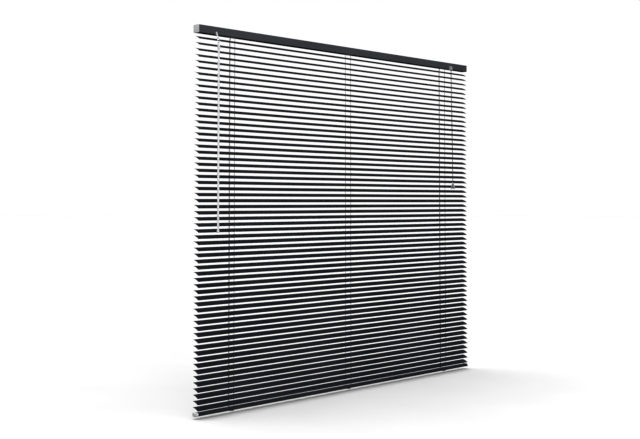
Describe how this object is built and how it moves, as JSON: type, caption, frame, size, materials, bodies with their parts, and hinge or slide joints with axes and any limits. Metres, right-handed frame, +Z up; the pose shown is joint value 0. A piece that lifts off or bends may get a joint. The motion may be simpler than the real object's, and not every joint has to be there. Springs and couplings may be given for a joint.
{
  "type": "venetian blind",
  "caption": "Aluminium venetian blind with crowned slats on cord ladders, an open-topped headrail, a worm tilter with a wand, and a cord lock with a pull cord and tassel.",
  "frame": {"origin": "middle of the headrail's back face", "axes": "+X along the headrail to the cord lock's end, +Y to the wall, +Z up"},
  "size_m": [1.48, 0.0464, 1.223],
  "materials": {
    "rail_paint": "satin anthracite paint on steel",
    "slat_paint": "satin anthracite stove enamel on aluminium strip",
    "cap_plastic": "light grey moulded plastic",
    "drive_plastic": "off-white moulded plastic",
    "clear_plastic": "clear plastic, slightly grey",
    "smoke_plastic": "smoke grey translucent plastic",
    "bare_steel": "zinc-plated steel",
    "cord_yarn": "black braided polyester"
  },
  "bodies": {
    "headrail": {"headrail": "rail_paint", "end_cap_left": "cap_plastic", "end_cap_right": "cap_plastic", "slats_on_ladders": "slat_paint", "cradle_left": "drive_plastic", "cradle_centre": "drive_plastic", "cradle_right": "drive_plastic", "tilter_case_left": "drive_plastic", "tilter_case_right": "drive_plastic", "cord_lock": "cap_plastic", "cord_lock_pin": "bare_steel", "lift_cord_left": "cord_yarn", "lift_cord_right": "cord_yarn", "headrail_cord_left": "cord_yarn", "headrail_cord_right": "cord_yarn", "pull_cord_left": "cord_yarn", "pull_cord_right": "cord_yarn"},
    "tilt_rod": {"tilt_rod": "bare_steel", "tilter_gear": "clear_plastic", "drum_left": "drive_plastic", "drum_centre": "drive_plastic", "drum_right": "drive_plastic"},
    "tilter_stem": {"tilter_stem": "clear_plastic"},
    "wand_ring": {"wand_ring": "bare_steel"},
    "wand": {"wand_collar": "clear_plastic", "wand_rod": "clear_plastic", "wand_tip": "clear_plastic"},
    "cord_lock_roller": {"cord_lock_roller": "bare_steel"},
    "bottom_rail": {"bottom_rail": "rail_paint", "bottom_cap_left": "cap_plastic", "bottom_cap_right": "cap_plastic", "ladder_button_left": "smoke_plastic", "ladder_button_centre": "smoke_plastic", "ladder_button_right": "smoke_plastic"},
    "tassel": {"tassel": "smoke_plastic", "cord_knot": "cord_yarn"}
  },
  "joints": [
    {"name": "rod_turn", "type": "hinge", "parent": "headrail", "child": "tilt_rod", "pos_m": [0, -0.0125, -0.003], "axis": [1, 0, 0], "range_deg": [-120, 60]},
    {"name": "stem_spin", "type": "hinge", "parent": "headrail", "child": "tilter_stem", "pos_m": [-0.664, -0.03497, -0.02843], "axis": [0, 0.4695, 0.8829], "range_deg": [-1440, 720]},
    {"name": "wand_spin", "type": "hinge", "parent": "headrail", "child": "wand_ring", "pos_m": [-0.664, -0.03497, -0.02843], "axis": [0, 0, 1], "range_deg": [-1440, 720]},
    {"name": "wand_swing", "type": "hinge", "parent": "wand_ring", "child": "wand", "pos_m": [-0.664, -0.03497, -0.03998], "axis": [-1, 0, 0], "range_deg": [0, 75]},
    {"name": "roller_slide", "type": "slide", "parent": "headrail", "child": "cord_lock_roller", "axis": [0, 0.5736, 0.8192], "range_m": [0, 0.0035]},
    {"name": "bottom_rail_lift", "type": "slide", "parent": "headrail", "child": "bottom_rail", "axis": [0, 0, 1], "range_m": [0, 1.085], "deforming": ["slats_on_ladders", "lift_cord_left", "lift_cord_right"]},
    {"name": "tassel_drop", "type": "slide", "parent": "headrail", "child": "tassel", "axis": [0, 0, -1], "range_m": [0, 1.085], "deforming": ["pull_cord_left", "pull_cord_right"]}
  ],
  "couplings": [
    {"joint": "stem_spin", "follows": "wand_spin", "ratio": 1},
    {"joint": "rod_turn", "follows": "wand_spin", "ratio": 0.083333},
    {"joint": "tassel_drop", "follows": "bottom_rail_lift", "ratio": 1}
  ]
}
